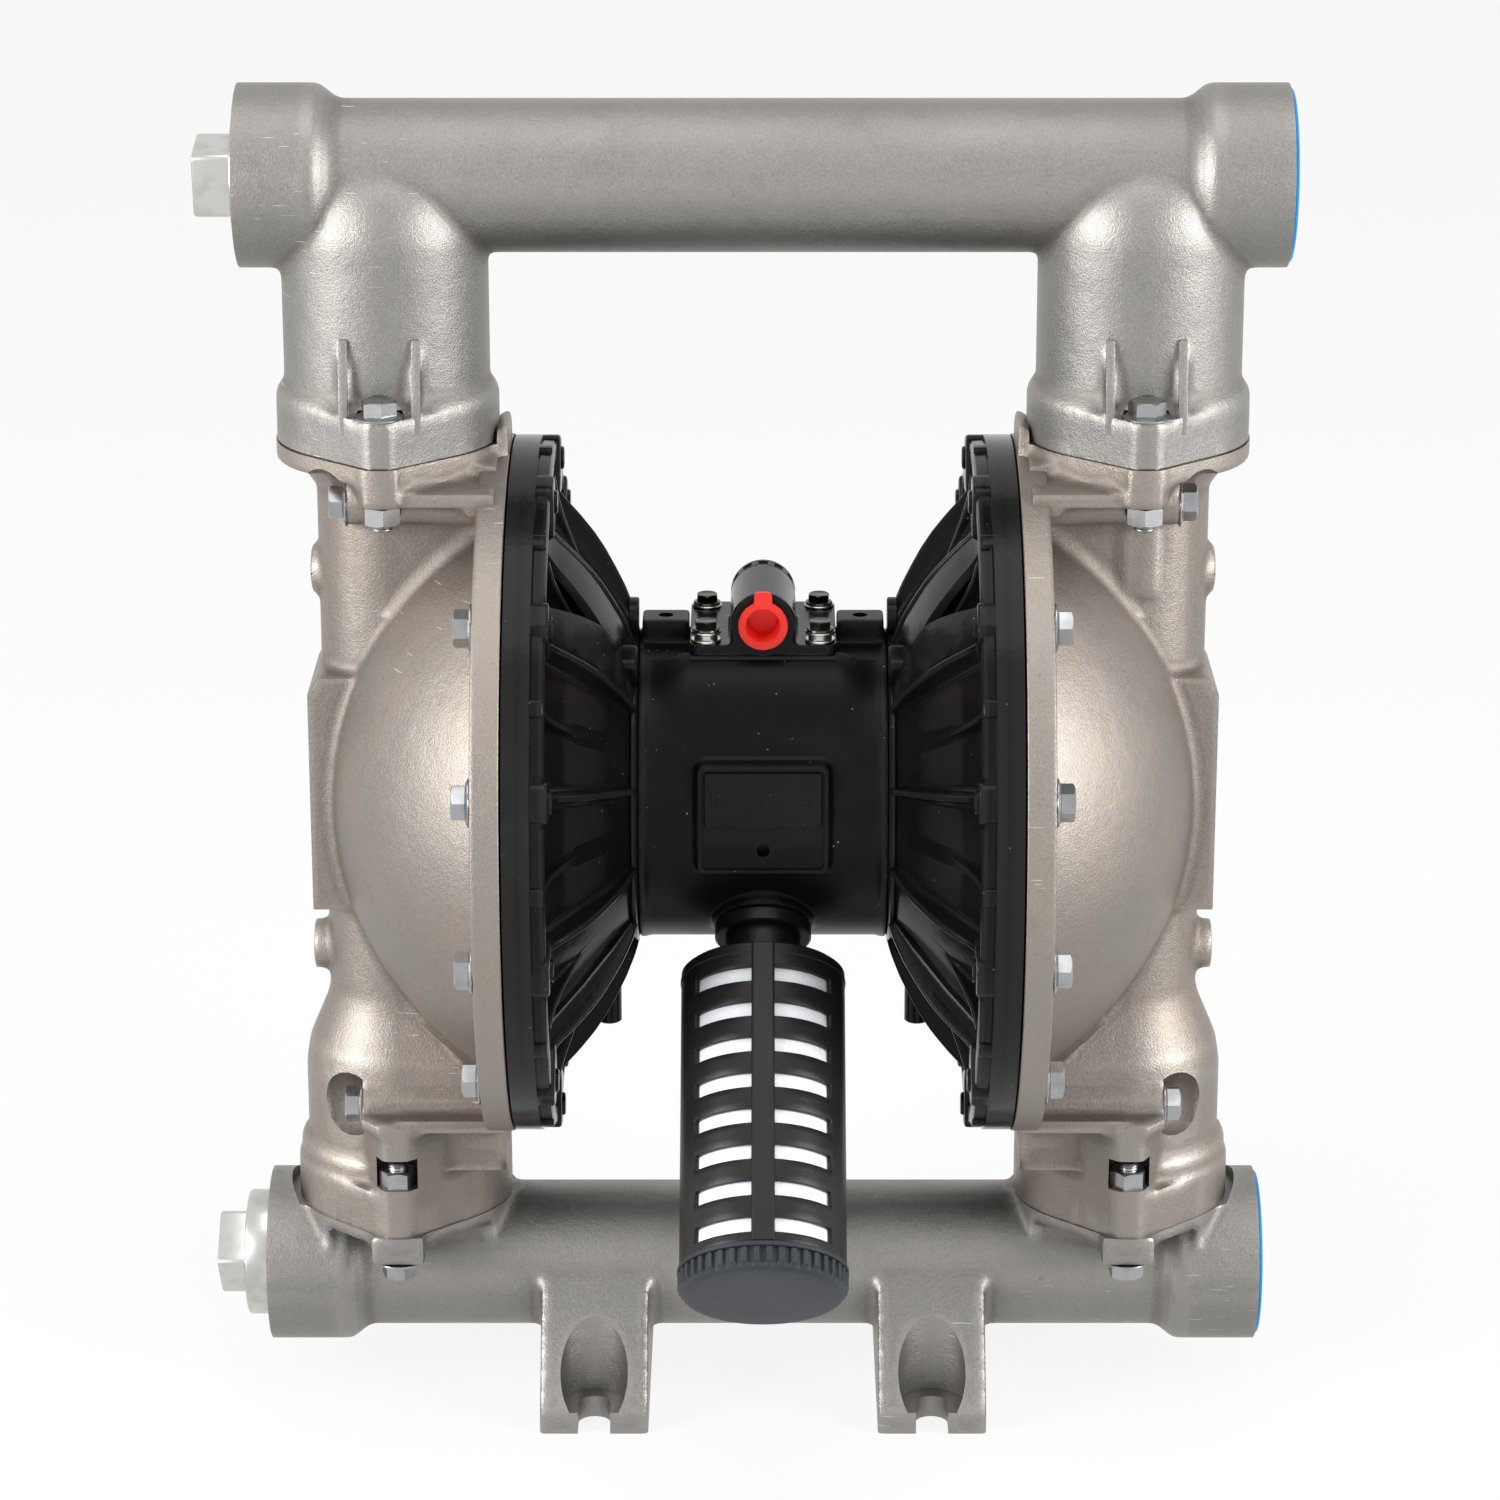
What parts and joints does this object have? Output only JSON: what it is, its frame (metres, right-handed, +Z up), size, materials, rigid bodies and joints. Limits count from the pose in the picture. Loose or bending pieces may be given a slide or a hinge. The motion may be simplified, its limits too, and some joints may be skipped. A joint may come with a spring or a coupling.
{
  "type": "air operated diaphragm pump",
  "caption": "Stainless steel air operated double diaphragm pump with a black centre section, exhaust muffler, threaded ports and two slotted feet.",
  "frame": {"origin": "on the floor, under the middle of the pump", "axes": "+X along the manifolds towards the open ports, +Y to the back, away from the muffler, +Z up"},
  "size_m": [0.5057, 0.3764, 0.6381],
  "materials": {
    "manifold_steel": "cast stainless steel, bead blasted, satin",
    "cover_steel": "cast stainless steel, bead blasted, satin, slightly warm",
    "fastener_steel": "bright stainless fasteners",
    "black_aluminium": "aluminium casting with a black gloss coat",
    "black_plastic": "black moulded plastic, satin",
    "grey_plastic": "dark grey moulded plastic, matte",
    "filter_white": "white porous filter sleeve",
    "red_plastic": "red moulded plastic",
    "blue_plastic": "blue moulded plastic",
    "white_ptfe": "white fluoropolymer",
    "black_rubber": "moulded rubber",
    "plate_steel": "turned stainless steel",
    "bronze": "bearing bronze",
    "valve_aluminium": "hard anodised aluminium"
  },
  "bodies": {
    "root": {"top_manifold": "manifold_steel", "bottom_manifold": "manifold_steel", "left_fluid_cover": "cover_steel", "right_fluid_cover": "cover_steel", "left_air_cover": "black_aluminium", "right_air_cover": "black_aluminium", "center_body": "black_aluminium", "air_valve_housing": "black_aluminium", "housing_end_ring": "black_plastic", "muffler_nipple": "black_plastic", "muffler_cage": "black_plastic", "muffler_end_cap": "grey_plastic", "muffler_element": "filter_white", "outlet_seat_left": "white_ptfe", "outlet_seat_right": "white_ptfe", "inlet_seat_left": "white_ptfe", "inlet_seat_right": "white_ptfe", "left_diaphragm": "black_rubber", "right_diaphragm": "black_rubber", "outlet_seat_rings": "black_rubber", "inlet_seat_rings": "black_rubber", "valve_gasket": "black_rubber", "left_shaft_seal": "black_rubber", "right_shaft_seal": "black_rubber", "left_shaft_bushing": "bronze", "right_shaft_bushing": "bronze", "spool_sleeve": "valve_aluminium", "spool_bore_plugs": "valve_aluminium", "outlet_flange_bolts": "fastener_steel", "outlet_flange_nuts": "fastener_steel", "inlet_flange_bolts": "fastener_steel", "inlet_flange_nuts": "fastener_steel", "left_cover_bolts": "fastener_steel", "right_cover_bolts": "fastener_steel", "left_long_cover_bolts": "fastener_steel", "right_long_cover_bolts": "fastener_steel", "outlet_plug": "fastener_steel", "inlet_plug": "fastener_steel", "valve_washers": "fastener_steel", "valve_screws": "fastener_steel"},
    "shaft_assembly": {"diaphragm_shaft": "plate_steel", "left_outer_plate": "plate_steel", "right_outer_plate": "plate_steel", "left_inner_plate": "plate_steel", "right_inner_plate": "plate_steel"},
    "pilot_rod_body": {"pilot_rod": "plate_steel"},
    "spool_body": {"spool": "plate_steel"},
    "outlet_ball_left_body": {"outlet_ball_left": "white_ptfe"},
    "outlet_ball_right_body": {"outlet_ball_right": "white_ptfe"},
    "inlet_ball_left_body": {"inlet_ball_left": "white_ptfe"},
    "inlet_ball_right_body": {"inlet_ball_right": "white_ptfe"},
    "inlet_cap_body": {"air_inlet_cap": "red_plastic"},
    "outlet_ring_body": {"outlet_port_ring": "blue_plastic"},
    "inlet_ring_body": {"inlet_port_ring": "blue_plastic"}
  },
  "joints": [
    {"name": "shaft_slide", "type": "slide", "parent": "root", "child": "shaft_assembly", "axis": [1, 0, 0], "range_m": [-0.014, 0.014], "deforming": ["left_diaphragm", "right_diaphragm"]},
    {"name": "pilot_rod_slide", "type": "slide", "parent": "root", "child": "pilot_rod_body", "axis": [1, 0, 0], "range_m": [-0.004, 0.004]},
    {"name": "spool_slide", "type": "slide", "parent": "root", "child": "spool_body", "axis": [1, 0, 0], "range_m": [-0.007, 0.007]},
    {"name": "outlet_ball_left_lift", "type": "slide", "parent": "root", "child": "outlet_ball_left_body", "axis": [0, 0, 1], "range_m": [0, 0.014]},
    {"name": "outlet_ball_right_lift", "type": "slide", "parent": "root", "child": "outlet_ball_right_body", "axis": [0, 0, 1], "range_m": [0, 0.014]},
    {"name": "inlet_ball_left_lift", "type": "slide", "parent": "root", "child": "inlet_ball_left_body", "axis": [0, 0, 1], "range_m": [0, 0.014]},
    {"name": "inlet_ball_right_lift", "type": "slide", "parent": "root", "child": "inlet_ball_right_body", "axis": [0, 0, 1], "range_m": [0, 0.014]},
    {"name": "inlet_cap_pull", "type": "slide", "parent": "root", "child": "inlet_cap_body", "axis": [0, -1, 0], "range_m": [0, 0.04]},
    {"name": "outlet_ring_pull", "type": "slide", "parent": "root", "child": "outlet_ring_body", "axis": [1, 0, 0], "range_m": [0, 0.04]},
    {"name": "inlet_ring_pull", "type": "slide", "parent": "root", "child": "inlet_ring_body", "axis": [1, 0, 0], "range_m": [0, 0.04]}
  ],
  "couplings": [
    {"joint": "pilot_rod_slide", "follows": "shaft_slide", "ratio": 0.28571}
  ]
}
